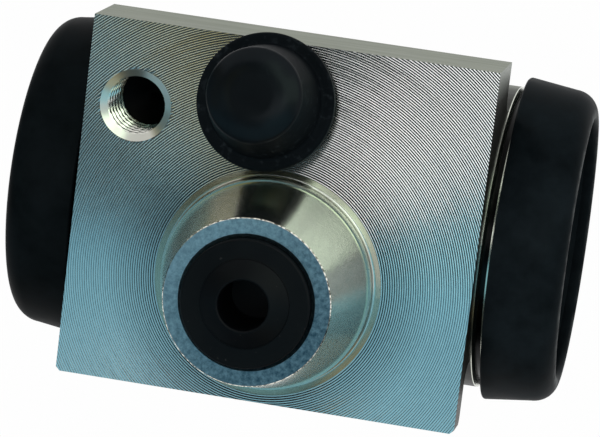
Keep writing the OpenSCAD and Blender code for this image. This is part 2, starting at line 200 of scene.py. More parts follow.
def make_piece(name, points, faces, materials, smooth=True, face_slots=None):
    """A mesh object from points in millimetres in the row frame."""
    mesh = bpy.data.meshes.new(name)
    mesh.from_pydata([Vector(p) * MM for p in points], [], faces)
    for material in materials:
        mesh.materials.append(material)
    if face_slots:
        mesh.polygons.foreach_set("material_index", face_slots)
    mesh.polygons.foreach_set("use_smooth", [smooth] * len(mesh.polygons))
    mesh.validate()
    obj = bpy.data.objects.new(name, mesh)
    bpy.context.scene.collection.objects.link(obj)
    return obj


def sleeve_faces(steps, count):
    """Faces between open rows of points, with one row for each step of a full turn."""
    faces = []
    for k in range(steps):
        near, far = k * count, (k + 1) % steps * count
        faces += [(near + i, near + i + 1, far + i + 1, far + i) for i in range(count - 1)]
    return faces


def lathe(name, profile, place, material, steps=160):
    """Turns a closed outline of (radius, height) points about the placed axis."""
    count = len(profile)
    points = []
    for k in range(steps):
        a = turn_angle(k, steps)
        points += [place @ Vector((r * math.cos(a), r * math.sin(a), h)) for r, h in profile]
    faces = []
    for k in range(steps):
        near, far = k * count, (k + 1) % steps * count
        for i in range(count):
            j = (i + 1) % count
            if profile[i][0] > AXIS_TOLERANCE or profile[j][0] > AXIS_TOLERANCE:
                faces.append((near + i, far + i, far + j, near + j))
    obj = make_piece(name, points, faces, [material])
    clean = bmesh.new()
    clean.from_mesh(obj.data)
    bmesh.ops.remove_doubles(clean, verts=clean.verts, dist=MERGE_DISTANCE)
    bmesh.ops.recalc_face_normals(clean, faces=clean.faces)
    clean.to_mesh(obj.data)
    clean.free()
    obj.data.set_sharp_from_angle(angle=math.radians(LATHE_SHARP_DEG))
    return obj


# Material helpers
COLOUR_A, COLOUR_B, COLOUR_OUT = 6, 7, 2
NUMBER_A, NUMBER_B, NUMBER_OUT = 2, 3, 0
SKIN_SCALE = 5200
SKIN_STRENGTH = 0.12
SKIN_DEPTH = 0.02


def grey(value):
    return (value, value, value, 1.0)


class Nodes:
    """The node tree of a material or world, with short calls to add and link nodes."""

    def __init__(self, owner):
        owner.use_nodes = True
        self.tree = owner.node_tree

    def add(self, kind, inputs=None, **settings):
        node = self.tree.nodes.new(kind)
        for key, value in settings.items():
            setattr(node, key, value)
        for key, value in (inputs or {}).items():
            self.put(node.inputs[key], value)
        return node

    def put(self, socket, value):
        if isinstance(value, bpy.types.NodeSocket):
            self.tree.links.new(value, socket)
        else:
            socket.default_value = value

    def math(self, operation, a, b=0.0):
        return self.add("ShaderNodeMath", {0: a, 1: b}, operation=operation).outputs[0]

    def times(self, a, b):
        return self.math("MULTIPLY", a, b)


class Finish(Nodes):
    """A piece's material, with short calls for zones and patterns. Lengths are in millimetres."""

    def __init__(self, name):
        self.material = bpy.data.materials.new(name)
        super().__init__(self.material)
        self.shader = self.tree.nodes["Principled BSDF"]
        self.place = self.add("ShaderNodeTexCoord").outputs["Object"]

    def split(self):
        return self.add("ShaderNodeSeparateXYZ", {"Vector": self.place}).outputs

    def distance(self, a, b, centre=(0.0, 0.0)):
        """How far a place lies from an axis, from the two coordinates across that axis."""
        off_a = self.math("SUBTRACT", a, centre[0] * MM)
        off_b = self.math("SUBTRACT", b, centre[1] * MM)
        return self.math("SQRT", self.math("ADD", self.times(off_a, off_a), self.times(off_b, off_b)))

    def below(self, value, limit):
        return self.math("LESS_THAN", value, limit * MM)

    def above(self, value, limit):
        return self.math("GREATER_THAN", value, limit * MM)

    def noise(self, scale, detail=3.0, roughness=0.55, place=None):
        vector = self.place if place is None else place
        inputs = {"Vector": vector, "Scale": scale, "Detail": detail, "Roughness": roughness}
        return self.add("ShaderNodeTexNoise", inputs).outputs["Fac"]

    def lines(self, *axes, detail=3.0):
        """Noise drawn out into lines: each axis is a coordinate and its density."""
        stretched = {i: self.times(value, density) for i, (value, density) in enumerate(axes)}
        return self.noise(1.0, detail, place=self.add("ShaderNodeCombineXYZ", stretched).outputs[0])

    def ramp(self, value, span, start=0.0, end=1.0):
        low, high = span
        inputs = {"Value": value, "From Min": low, "From Max": high, "To Min": start, "To Max": end}
        return self.add("ShaderNodeMapRange", inputs).outputs[0]

    def fade(self, length, span, start=0.0, end=1.0):
        """A ramp over a span of lengths."""
        return self.ramp(length, [limit * MM for limit in span], start, end)

    def vary(self, noise, start=0.0, end=1.0):
        """A ramp over the middle range of a noise."""
        return self.ramp(noise, NOISE_SPAN, start, end)

    def mix(self, share, a, b):
        """Mixes two colours."""
        inputs = {"Factor": share, COLOUR_A: a, COLOUR_B: b}
        return self.add("ShaderNodeMix", inputs, data_type="RGBA").outputs[COLOUR_OUT]

    def blend(self, share, a, b):
        """Mixes two numbers."""
        inputs = {"Factor": share, NUMBER_A: a, NUMBER_B: b}
        return self.add("ShaderNodeMix", inputs, data_type="FLOAT").outputs[NUMBER_OUT]

    def bump(self, height, strength, depth):
        inputs = {"Height": height, "Strength": strength, "Distance": depth * MM}
        self.put(self.shader.inputs["Normal"], self.add("ShaderNodeBump", inputs).outputs[0])

    def moulded_skin(self):
        self.bump(self.noise(SKIN_SCALE), SKIN_STRENGTH, SKIN_DEPTH)

    def set(self, **values):
        for key, value in values.items():
            self.put(self.shader.inputs[key.replace("_", " ")], value)


# Tones of each finish and of painted light and shade, the darker one first
DRAWN_TONES = (0.135, 0.155, 0.112, 1), (0.20, 0.222, 0.165, 1)
TURNED_TONES = (0.58, 0.60, 0.53, 1), (0.68, 0.70, 0.62, 1)
BURR_TONES = (0.10, 0.09, 0.07, 1), (0.90, 0.89, 0.80, 1)
TIP_TONES = (0.05, 0.10, 0.14, 1), (0.38, 0.49, 0.56, 1)
SAWN_SIDE_SHADE_TONES = (0.035, 0.035, 0.03, 1), (0.30, 0.32, 0.29, 1)
LAND_TONES = (0.66, 0.67, 0.67, 1), (0.82, 0.82, 0.81, 1)
# The groove flanks are dark with residue and painted shade.
GROOVE_RESIDUE_AND_SHADE_TONES = (0.10, 0.10, 0.10, 1), (0.20, 0.20, 0.19, 1)
ROOT_TONES = (0.50, 0.50, 0.46, 1), (0.62, 0.62, 0.58, 1)
# Painted light: one rubber, as a darker copy for the left boot and a lit copy for the right.
SHADED_LEFT_BOOT_TONES = (0.0022, 0.0035, 0.004, 1), (0.006, 0.009, 0.0105, 1)
LIT_RIGHT_BOOT_TONES = (0.0045, 0.007, 0.0083, 1), (0.012, 0.0178, 0.0212, 1)
CAP_TONES = (0.0025, 0.0038, 0.005, 1), (0.005, 0.0072, 0.0088, 1)
SEAL_TONES = grey(0.012), grey(0.02)
PLUG_TONES = (0.002, 0.0028, 0.0038, 1), (0.0035, 0.005, 0.006, 1)
# The pistons' dark phosphate, darkened further as painted shade in the boots' recesses.
PISTON_PHOSPHATE_AND_SHADE_TONES = grey(0.014), grey(0.028)
SPRING_TONES = grey(0.40), grey(0.52)
SHEET_TONES = grey(0.45), grey(0.56)
PLATED_TONES = (0.50, 0.47, 0.36, 1), (0.62, 0.58, 0.44, 1)
TAPPED_TONE = (0.70, 0.70, 0.64, 1)
# Painted shade: in the thread, near the boss, beside the collars, on the barrel and down the hole.
PAINTED_SHADE_TONE = grey(0.01)
PAINTED_CORNER_SHADE_TONE = grey(0.01)
PAINTED_BARREL_SHADE_TONE = grey(0.02)
PAINTED_HOLE_SHADE_TONE = grey(0.006)
SPECK_TONE = grey(0.05)
RIM_WEAR_AND_HIGHLIGHT_TONE = (0.15, 0.17, 0.17, 1)
SCUFF_TONE = (0.024, 0.031, 0.036, 1)
GLOSS_TINT = (0.80, 0.92, 1.0, 1)


def alloy_material():
    """The body's light alloy: drawn outside, turned boss and spigots, granular tip and a tapped port."""
    n = Finish("light_alloy")
    x, y, z = n.split()
    across = n.math("ABSOLUTE", x)
    from_boss = n.distance(x, z)
    from_bore = n.distance(y, z, (BORE_Y, BORE_Z))
    from_hole = n.distance(x, z, (THREAD_X, THREAD_Z))

    boss = n.times(n.below(y, BOSS_BACK), n.below(from_boss, RELIEF_R + ZONE_EDGE))
    tip_mouth = n.times(n.below(y, TIP_MOUTH_DEPTH - BOSS_TOP), n.below(from_boss, TIP_MOUTH_R))
    tip = n.math("MAXIMUM", n.below(y, ZONE_EDGE - BOSS_TOP), tip_mouth)
    tip_edge = n.below(y, TIP_EDGE_DEPTH - BOSS_TOP)
    # Painted shade: the mounting hole's bore is near black from 0.3 mm below the face, narrowing to the drill
    # point.
    hole_r = n.fade(y, DRILL_POINT_SPAN, HOLE_DARK_R * MM, 0.0)
    hole = n.times(n.math("LESS_THAN", from_hole, hole_r), n.above(y, HOLE_DARK_FROM))
    outside = n.above(across, PLATE_HALF_W + ZONE_EDGE)
    side = n.above(across, PLATE_HALF_W - SIDE_EDGE)
    # Painted shade: the spigot beside the collar, out to 18.5 mm, is darkened as if it lay in a groove's shade.
    spigot_root = n.times(n.below(from_bore, CORNER_R), outside)
    corner = n.times(spigot_root, n.fade(across, CORNER_SHADE_SPAN, 1.0, 0.0))
    machined = n.math("MAXIMUM", boss, outside)
    # Painted shade: the barrel's front half is darkened near its ends, beside the plate's sides.
    near_sides = n.fade(across, BARREL_DARK_SPAN, 0.0, BARREL_SHADE_SHARE)
    beside_plate = n.times(near_sides, n.fade(y, BARREL_DARK_BACK, 1.0, 0.0))
    painted_barrel_shade = n.times(n.below(from_bore, BARREL_R), beside_plate)

    drawn_lines = n.lines((x, DRAWN_ALONG), (y, DRAWN_ACROSS), (z, DRAWN_ACROSS))
    boss_lines = n.lines((y, TURNED_LINES), (from_boss, TURNED_LINES), detail=4.0)
    end_lines = n.lines((x, TURNED_LINES), (from_bore, TURNED_LINES), detail=4.0)
    grains = n.noise(scale=9000, detail=2.0)
    outer_height = n.blend(outside, drawn_lines, end_lines)
    boss_height = n.blend(tip, n.times(boss_lines, BOSS_LINE_SHARE), grains)
    n.bump(n.blend(boss, outer_height, boss_height), strength=0.35, depth=0.02)

    clouds = n.noise(scale=260, detail=4.0)
    burrs = n.ramp(n.noise(scale=4200, detail=2.0), BURR_SPAN)
    edged = n.mix(tip_edge, n.mix(clouds, *TURNED_TONES), n.mix(burrs, *BURR_TONES))
    # Painted light: half of the granular tip's tone is a gradient, lighter towards its upper left.
    painted_light_gradient = n.fade(n.math("SUBTRACT", z, x), TIP_LIGHT_SPAN)
    patches = n.ramp(n.noise(scale=2400, detail=4.0, roughness=0.7), TIP_PATCH_SPAN)
    granular = n.mix(n.blend(TIP_LIGHT_SHARE, patches, painted_light_gradient), *TIP_TONES)
    turned_parts = n.mix(corner, n.mix(tip, edged, granular), PAINTED_CORNER_SHADE_TONE)
    drawn_parts = n.mix(painted_barrel_shade, n.mix(clouds, *DRAWN_TONES), PAINTED_BARREL_SHADE_TONE)
    # Painted shade: the sawn sides are near black, lighter towards their top.
    rough_parts = n.mix(side, drawn_parts, n.mix(n.fade(z, SAWN_SHADE_SPAN), *SAWN_SIDE_SHADE_TONES))
    solid = n.mix(machined, rough_parts, turned_parts)
    n.set(Base_Color=n.mix(hole, solid, PAINTED_HOLE_SHADE_TONE))
    machined_rough = n.blend(tip, TURNED_ROUGH, TIP_ROUGH)
    n.set(Roughness=n.blend(machined, n.vary(drawn_lines, *DRAWN_ROUGH), machined_rough))
    n.set(Metallic=1.0)
    return n.material


def turned_material(name, tones, rough, near_boss=1.0):
    """One flank of the lathe marks on the mounting face, with its share of painted shade near the boss."""
    n = Finish(name)
    x, _, z = n.split()
    out = n.distance(x, z)
    streaks = n.lines((out, LATHE_LINES), (n.math("ARCTAN2", z, x), LATHE_STREAKS))
    n.bump(streaks, strength=0.25, depth=0.01)
    # Painted shade: darker towards the boss, where only the near_boss share of the flank's colour is left.
    clear = n.fade(out, (RELIEF_R, RELIEF_R + DEEP_MARKS), near_boss, 1.0)
    n.set(Base_Color=n.mix(clear, PAINTED_SHADE_TONE, n.mix(n.vary(streaks), *tones)))
    n.set(Roughness=n.vary(streaks, rough, rough + LATHE_ROUGH_RANGE))
    n.set(Metallic=1.0)
    return n.material


def tapped_material():
    """The thread's alloy, with painted shade in the roots and far down."""
    n = Finish("tapped_alloy")
    x, y, z = n.split()
    out = n.distance(x, z, (THREAD_X, THREAD_Z))
    below_mouth = n.above(y, THREAD_MOUTH_DEPTH)
    # Painted shade: dark in the thread's roots below the mouth, and from 5.7 mm down.
    root = n.times(n.fade(out, ROOT_SHADE_SPAN), below_mouth)
    painted_shade = n.math("MAXIMUM", root, n.fade(y, DEEP_SHADE_SPAN))
    n.set(Base_Color=n.mix(painted_shade, TAPPED_TONE, PAINTED_SHADE_TONE))
    n.set(Roughness=n.blend(below_mouth, THREAD_MOUTH_ROUGH, THREAD_ROUGH))
    n.set(Metallic=1.0)
    return n.material


def rubber_material(name, tones, rough):
    """Black rubber or plastic with a soft bloom, a few specks and a fine skin."""
    n = Finish(name)
    bloom = n.noise(scale=220, detail=5.0)
    specks = n.math("GREATER_THAN", n.noise(scale=2600, detail=2.0), SPECK_LEVEL)
    moulded = n.mix(n.ramp(bloom, BLOOM_SPAN), *tones)
    n.set(Base_Color=n.mix(n.times(specks, SPECK_SHARE), moulded, SPECK_TONE))
    n.set(Roughness=n.vary(bloom, rough - BLOOM_SMOOTHER, rough + BLOOM_ROUGHER))
    n.set(Specular_IOR_Level=RUBBER_GLOSS)
    n.moulded_skin()
    return n.material


def boot_material(name, tones):
    """A boot's rubber: a fine bloom, and a rim line of grey wear that is also a painted highlight."""
    n = Finish(name)
    x, y, z = n.split()
    out = n.distance(y, z, (BORE_Y, BORE_Z))
    # Grey wear and painted highlight: a line along the rim of each boot.
    from_rim = n.math("ABSOLUTE", n.math("SUBTRACT", out, RIM_LINE_R * MM))
    outer = n.above(n.math("ABSOLUTE", x), RIM_LINE_S)
    line = n.times(n.fade(from_rim, RIM_LINE_SPAN, 1.0, 0.0), outer)
    scuffs = n.ramp(n.noise(scale=500, detail=4.0), RIM_SCUFF_SPAN)
    rim_wear_and_highlight = n.times(n.times(line, scuffs), RIM_WEAR_AND_HIGHLIGHT_SHARE)
    bloom = n.noise(scale=260, detail=6.0, roughness=0.65)
    moulded = n.mix(n.ramp(bloom, BOOT_BLOOM_SPAN), *tones)
    n.set(Base_Color=n.mix(rim_wear_and_highlight, moulded, RIM_WEAR_AND_HIGHLIGHT_TONE))
    n.set(Roughness=n.vary(bloom, *BOOT_ROUGH))
    n.set(Specular_IOR_Level=BOOT_GLOSS)
    n.moulded_skin()
    return n.material


def cap_material():
    """The bleed cap's rubber: a smooth crown above a scuffed side and rim."""
    n = Finish("cap_rubber")
    height = n.add("ShaderNodeVectorMath", {0: n.place, 1: BLEED_AXIS}, operation="DOT_PRODUCT")
    rise = n.math("SUBTRACT", height.outputs["Value"], BLEED_POINT.dot(BLEED_AXIS) * MM)
    crown = n.fade(rise, CROWN_SPAN)
    bloom = n.noise(scale=220, detail=5.0)
    scuffs = n.ramp(n.noise(scale=1700, detail=4.0), CAP_SCUFF_SPAN)
    moulded = n.mix(n.ramp(bloom, BLOOM_SPAN), *CAP_TONES)
    scuffed = n.mix(n.times(scuffs, CAP_SCUFF_SHARE), moulded, SCUFF_TONE)
    n.set(Base_Color=n.mix(crown, scuffed, moulded))
    n.set(Roughness=n.blend(crown, n.vary(bloom, *CAP_SIDE_ROUGH), n.vary(bloom, *CAP_CROWN_ROUGH)))
    n.set(Specular_IOR_Level=n.blend(crown, CAP_SIDE_GLOSS, CAP_CROWN_GLOSS))
    n.set(Specular_Tint=GLOSS_TINT)
    n.moulded_skin()
    return n.material


def steel_material(name, tones, rough, density):
    """Turned, drawn or pressed steel with fine lines across X."""
    n = Finish(name)
    x, y, z = n.split()
    lines = n.lines((x, density), (y, STEEL_ACROSS), (z, STEEL_ACROSS))
    n.set(Base_Color=n.mix(n.noise(scale=700, detail=4.0), *tones))
    n.set(Roughness=n.vary(lines, rough, rough + STEEL_ROUGH_RANGE))
    n.set(Metallic=1.0)
    n.bump(lines, strength=0.2, depth=0.01)
    return n.material


ALLOY = alloy_material()
TAPPED_ALLOY = tapped_material()
# The last number is the share of each flank's colour left near the boss; the rest is painted shade.
FLAT = turned_material("turned_flat", LAND_TONES, rough=0.07, near_boss=0.8)
LAND = turned_material("turned_land", LAND_TONES, rough=0.17, near_boss=0.85)
# Groove flanks: residue and painted shade.
GROOVE = turned_material("turned_groove", GROOVE_RESIDUE_AND_SHADE_TONES, rough=0.24, near_boss=0.2)
ROOT_ALLOY = turned_material("root_alloy", ROOT_TONES, rough=0.16)
# Painted light: the left boot's rubber is a darker copy and the right boot's a lit copy of one rubber.
BOOT_RUBBERS = {
    "left": boot_material("boot_rubber", SHADED_LEFT_BOOT_TONES),
    "right": boot_material("lit_boot_rubber", LIT_RIGHT_BOOT_TONES),
}
CAP_RUBBER = cap_material()
SEAL_RUBBER = rubber_material("seal_rubber", SEAL_TONES, rough=0.5)
PLUG_PLASTIC = rubber_material("plug_plastic", PLUG_TONES, rough=0.42)
PISTON_STEEL = steel_material("phosphated_steel", PISTON_PHOSPHATE_AND_SHADE_TONES, rough=0.42, density=STEEL_LINES)
SPRING_STEEL = steel_material("spring_steel", SPRING_TONES, rough=0.25, density=STEEL_LINES)
SHEET_STEEL = steel_material("sheet_steel", SHEET_TONES, rough=0.32, density=SHEET_LINES)
PLATED_STEEL = steel_material("plated_steel", PLATED_TONES, rough=0.26, density=SHEET_LINES)


# Solids that keep their own shape
CAD_FINISH = {
    "body": ALLOY,
    "piston_left": PISTON_STEEL,
    "piston_right": PISTON_STEEL,
    "cup_left": SEAL_RUBBER,
    "cup_right": SEAL_RUBBER,
    "expander_left": SHEET_STEEL,
    "expander_right": SHEET_STEEL,
    "bleed_screw": PLATED_STEEL,
}
for node_name, finish in CAD_FINISH.items():
    node_mesh = frame["nodes"][node_name].data
    node_mesh.materials.clear()
    node_mesh.materials.append(finish)


# Mounting face with its lathe marks, and the holes in it
FACE_STEPS = 420
FACE_MARGIN = 1
BITE_RANGE = (0.94, 1.06)
FLAT_RANGE = (0.95, 1.05)
BLEED_HOLE_R = 3.0
BLEED_RISE = BLEED_HOLE_R / abs(BLEED_AXIS.y)
SNAP_REACH = 0.5
HOLES = [
    (THREAD_X, THREAD_Z, THREAD_MOUTH_R, THREAD_MOUTH_R),
    (BLEED_POINT.x, BLEED_POINT.z, BLEED_HOLE_R, BLEED_RISE),
]


def hole_share(point, centre_x, centre_z, half_w, half_h):
    """How far a point lies from a hole's middle, where 1 is on its edge."""
    return math.hypot((point.x - centre_x) / half_w, (point.z - centre_z) / half_h)


def on_plate(point):
    """Whether a point lies on the plate or just past its edges, and in none of the holes."""
    if abs(point.x) > PLATE_HALF_W + FACE_MARGIN:
        return False
    if not BODY_LOW.z - FACE_MARGIN < point.z < BODY_HIGH.z + FACE_MARGIN:
        return False
    return all(hole_share(point, *hole) >= 1 for hole in HOLES)


def snap_to_hole(vertex):
    """Moves an edge point that is close to a hole onto the hole's rim."""
    point = vertex.co / MM
    for centre_x, centre_z, half_w, half_h in HOLES:
        share = hole_share(point, centre_x, centre_z, half_w, half_h)
        if abs(share - 1) * half_w < SNAP_REACH:
            point.x = centre_x + (point.x - centre_x) / share
            point.z = centre_z + (point.z - centre_z) / share
            vertex.co = point * MM


def lathe_rings():
    """Radius and depth of each ring of the saw-tooth marks, and the finish of each strip between rings."""
    draw = random.Random(SEED)
    reach = math.hypot(PLATE_HALF_W, BODY_HIGH.z) + GROOVE_PITCH
    rings = [(RELIEF_R, 0.0)]
    slots = []
    r = RELIEF_R
    while r < reach:
        share = 1 - DEEP_NARROWING * max(0.0, 1 - (r - RELIEF_R) / DEEP_MARKS)
        bite = share * draw.uniform(*BITE_RANGE)
        flat = r + STRIP_WIDTHS[0] * share * draw.uniform(*FLAT_RANGE)
        rings.append((flat, STRIP_DEPTHS[0] * bite))
        rings.append((flat + STRIP_WIDTHS[1] * share, GROOVE_DEPTH * bite))
        rings.append((r + GROOVE_PITCH, 0.0))
        slots += [0, 1, 2]
        r += GROOVE_PITCH
    return rings, slots


def trim_face(mesh):
    """Cuts the rings to the plate's outline and closes them up to the holes."""
    corner = PLATE_HALF_W - PLATE_BEVEL
    cuts = [
        ((PLATE_HALF_W, 0, 0), (1, 0, 0)),
        ((-PLATE_HALF_W, 0, 0), (-1, 0, 0)),
        ((0, 0, BODY_HIGH.z), (0, 0, 1)),
        ((0, 0, BODY_LOW.z), (0, 0, -1)),
        ((corner, 0, BODY_LOW.z), (1, 0, -1)),
        ((-corner, 0, BODY_LOW.z), (-1, 0, -1)),
    ]
    trim = bmesh.new()
    trim.from_mesh(mesh)
    for point, normal in cuts:
        bmesh.ops.bisect_plane(
            trim,
            geom=trim.verts[:] + trim.edges[:] + trim.faces[:],
            plane_co=Vector(point) * MM,
            plane_no=Vector(normal).normalized(),
            clear_outer=True,
        )
    loose = [v for v in trim.verts if not v.link_faces]
    bmesh.ops.delete(trim, geom=loose, context="VERTS")
    for v in trim.verts:
        if v.is_boundary:
            snap_to_hole(v)
    trim.to_mesh(mesh)
    trim.free()


def turned_face():
    """A thin skin of concentric saw-tooth marks, trimmed to the plate and to the holes in it."""
    rings, slots = lathe_rings()
    points = []
    for radius, depth in rings:
        y = depth - FACE_FRONT
        for k in range(FACE_STEPS):
            a = turn_angle(k, FACE_STEPS)
            points.append((radius * math.cos(a), y, radius * math.sin(a)))
    faces, face_slots = [], []
    for i, slot in enumerate(slots):
        near, far = i * FACE_STEPS, (i + 1) * FACE_STEPS
        for k in range(FACE_STEPS):
            j = (k + 1) % FACE_STEPS
            corners = (near + k, near + j, far + j, far + k)
            middle = sum((Vector(points[c]) for c in corners), Vector()) / len(corners)
            if on_plate(middle):
                faces.append(corners)
                face_slots.append(slot)
    obj = make_piece("turned_face", points, faces, [FLAT, LAND, GROOVE], False, face_slots)
    trim_face(obj.data)
    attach(obj, "housing")


turned_face()


# Groove where the face meets the pilot
ROOT_STEPS = 240
ROOT_SLOPE_DEG = 22.0
ROOT_FILLET_R = 0.22
ROOT_STANDOFF = 0.006
ROOT_WALL_R = PILOT_R + ROOT_STANDOFF


def root_groove():
    """A sloped ring that runs from the face into a rounded corner at the pilot's wall."""
    lean = math.radians(ROOT_SLOPE_DEG)
    corner_r = ROOT_WALL_R + ROOT_FILLET_R
    slope_w = RELIEF_R - corner_r - ROOT_FILLET_R * math.sin(lean)
    corner_depth = slope_w * math.tan(lean) - ROOT_FILLET_R * math.cos(lean)
    fillet = arc((corner_r, corner_depth), ROOT_FILLET_R, 90 - ROOT_SLOPE_DEG, 180, 14)
    profile = [(RELIEF_R, -FACE_STANDOFF)] + fillet
    points = []
    for k in range(ROOT_STEPS):
        a = turn_angle(k, ROOT_STEPS)
        points += [(r * math.cos(a), depth, r * math.sin(a)) for r, depth in profile]
    obj = make_piece("root_groove", points, sleeve_faces(ROOT_STEPS, len(profile)), [ROOT_ALLOY])
    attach(obj, "housing")


root_groove()


# Tapped mounting hole
THREAD_PITCH = 1.0
THREAD_CORE_R = 2.5
THREAD_ROOT_R = 2.93
THREAD_LENGTH = 6.1
THREAD_FLANK = 0.24
THREAD_START = 0.43
THREAD_STEPS = 96
THREAD_ROWS = 160
THREAD_SHARP_DEG = 25


def thread_radius(depth, turn):
    """Radius of the tapped wall, which starts as a countersink."""
    if depth < THREAD_MOUTH_DEPTH:
        share = (depth + FACE_FRONT) / (THREAD_MOUTH_DEPTH + FACE_FRONT)
        return THREAD_MOUTH_R + (THREAD_CORE_R - THREAD_MOUTH_R) * share
    phase = (depth / THREAD_PITCH + turn + THREAD_START) % 1.0
    ridge = min(1.0, max(0.0, (abs(2 * phase - 1) - 0.5 + THREAD_FLANK) / (2 * THREAD_FLANK)))
    return THREAD_ROOT_R + (THREAD_CORE_R - THREAD_ROOT_R) * ridge


def tapped_hole():
    """A helical ridge inside the hole, under a countersunk mouth."""
    points = []
    for k in range(THREAD_STEPS):
        a = turn_angle(k, THREAD_STEPS)
        for i in range(THREAD_ROWS + 1):
            depth = -FACE_FRONT + (THREAD_LENGTH + FACE_FRONT) * i / THREAD_ROWS
            r = thread_radius(depth, k / THREAD_STEPS)
            points.append((THREAD_X + r * math.cos(a), depth, THREAD_Z + r * math.sin(a)))
    faces = sleeve_faces(THREAD_STEPS, THREAD_ROWS + 1)
    obj = make_piece("mounting_thread_turns", points, faces, [TAPPED_ALLOY])
    obj.data.set_sharp_from_angle(angle=math.radians(THREAD_SHARP_DEG))
    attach(obj, "housing")


tapped_hole()


# Boots, with S along the bore from its middle
RIM_R = 11.95
SHOULDER_R = 2.0
LIP_R = 14.45
LIP_EDGE_R = 0.25
SEAT_R = 12.98
HOOK_R = 12.28
SKIRT_IN_R = 12.6
RIM_EDGE_R = 0.5
SHELF_DEPTH = 1.0
BEAD_R = 6.58
BEAD_T = 2.0
BEAD_LENGTH = 1.44
BEAD_EDGE_R = 0.3
FOLD_WALL = 0.8
FOLD_LAP = 0.05
FOLD_STEPS = 14
SKIRT_STEPS = 200
SPIGOT_S = BODY_HIGH.x
SPIGOT_GAP = 0.08
LIP_S = 18.4
LIP_DRAWS = {"left": -0.27, "right": 0.45}
LIP_MARGIN = 0.01
LIP_STOP = 0.05
RIM_LEAN = 0.75
RIM_LEAN_FROM = 18.9
HOOK_IN_S = 18.78
HOOK_OUT_S = 19.62
RIM_S = BOOT_HIGH.x
SHELF_S = RIM_S - SHELF_DEPTH
BEAD_IN_S = BOOT_LOW.x
BEAD_OUT_S = BEAD_IN_S + BEAD_LENGTH
FUNNEL_R = RIM_R - RIM_EDGE_R
UNDER_SHELF = [(0.0, 0.05), (0.12, -0.25), (0.75, -0.62)]


def boot_skirt_outline():
    """The part of a boot that stays on the spigot, from the lip round the shoulder to the rim."""
    return (
        [(SEAT_R, LIP_S + LIP_EDGE_R), (SEAT_R + LIP_EDGE_R, LIP_S)]
        + arc((LIP_R - LIP_EDGE_R, LIP_S + LIP_EDGE_R), LIP_EDGE_R, -90, 0, 5)
        + arc((RIM_R, RIM_S - SHOULDER_R), SHOULDER_R, 2, 90, 20)
        + arc((RIM_R, RIM_S - RIM_EDGE_R), RIM_EDGE_R, 95, 180, 8)
        + [(FUNNEL_R + out, SHELF_S + up) for out, up in UNDER_SHELF]
        + [(SKIRT_IN_R, RIM_S - SHOULDER_R), (SEAT_R, SPIGOT_S + SPIGOT_GAP)]
        + [(SEAT_R, HOOK_OUT_S), (HOOK_R, HOOK_OUT_S), (HOOK_R, HOOK_IN_S), (SEAT_R, HOOK_IN_S)]
    )


def boot_fold_outline():
    """The funnel that rolls between the rim and the piston's neck, with the bead at its foot."""
    top = (FUNNEL_R + FOLD_LAP, SHELF_S)
    foot = (BEAD_R + BEAD_T, BEAD_OUT_S)
    run = (top[0] - foot[0], top[1] - foot[1])
    length = math.hypot(*run)
    under = (FOLD_WALL * run[1] / length, -FOLD_WALL * run[0] / length)
    outer = []
    for i in range(FOLD_STEPS + 1):
        outer.append((top[0] - run[0] * i / FOLD_STEPS, top[1] - run[1] * i / FOLD_STEPS))
    inner = [(r + under[0], h + under[1]) for r, h in reversed(outer)]
    bead = (
        arc((BEAD_R + BEAD_EDGE_R, BEAD_OUT_S - BEAD_EDGE_R), BEAD_EDGE_R, 90, 180, 5)
        + arc((BEAD_R + BEAD_EDGE_R, BEAD_IN_S + BEAD_EDGE_R), BEAD_EDGE_R, 180, 270, 5)
        + [(BEAD_R + BEAD_T, BEAD_IN_S)]
    )
    return outer + bead + inner


def draw_lip(skirt, sign, travel):
    """Draws the near side of a boot's lip along the spigot, away from the plate or towards it."""
    for vertex in skirt.data.vertices:
        point = vertex.co / MM
        reach = sign * point.x
        if reach < HOOK_IN_S - LIP_MARGIN:
            near = max(0.0, (BORE_Y - point.y) / math.hypot(point.y - BORE_Y, point.z - BORE_Z))
            point.x = sign * min(reach + travel * near, HOOK_IN_S + LIP_STOP)
            vertex.co = point * MM


def lean_rim(piece):
    """Leans the right boot's rim, so that its near side stands further out."""
    for vertex in piece.data.vertices:
        point = vertex.co / MM
        share = min(1.0, max(0.0, (point.x - RIM_LEAN_FROM) / (RIM_S - RIM_LEAN_FROM)))
        near = max(0.0, 1 + (BORE_Y - point.y) / RIM_R) / 2
        point.x += RIM_LEAN * share * near
        vertex.co = point * MM


def boot(side, sign):
    """A dust boot: a skirt that stays on the spigot and a fold that runs in to the piston."""
    place = axis_matrix((0, BORE_Y, BORE_Z), (sign, 0, 0))
    rubber = BOOT_RUBBERS[side]
    skirt = lathe(f"boot_{side}_skirt", boot_skirt_outline(), place, rubber, SKIRT_STEPS)
    fold = lathe(f"boot_{side}_fold", boot_fold_outline(), place, rubber)
    draw_lip(skirt, sign, LIP_DRAWS[side])
    if side == "right":
        lean_rim(skirt)
        lean_rim(fold)
    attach(skirt, "housing")
    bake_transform(fold)
    for piece in (skirt, fold):
        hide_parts(f"boot_{side}")


boot("left", -1)
boot("right", 1)


# Return spring, in two halves, one on each side
SPRING_HALF = 4.6
SPRING_R = 3.8
WIRE_R = 0.45
WIRE_SIDES = 14
SPRING_TURNS = 4.5
SPRING_CLOSING = 0.6
SPRING_STEPS = 120


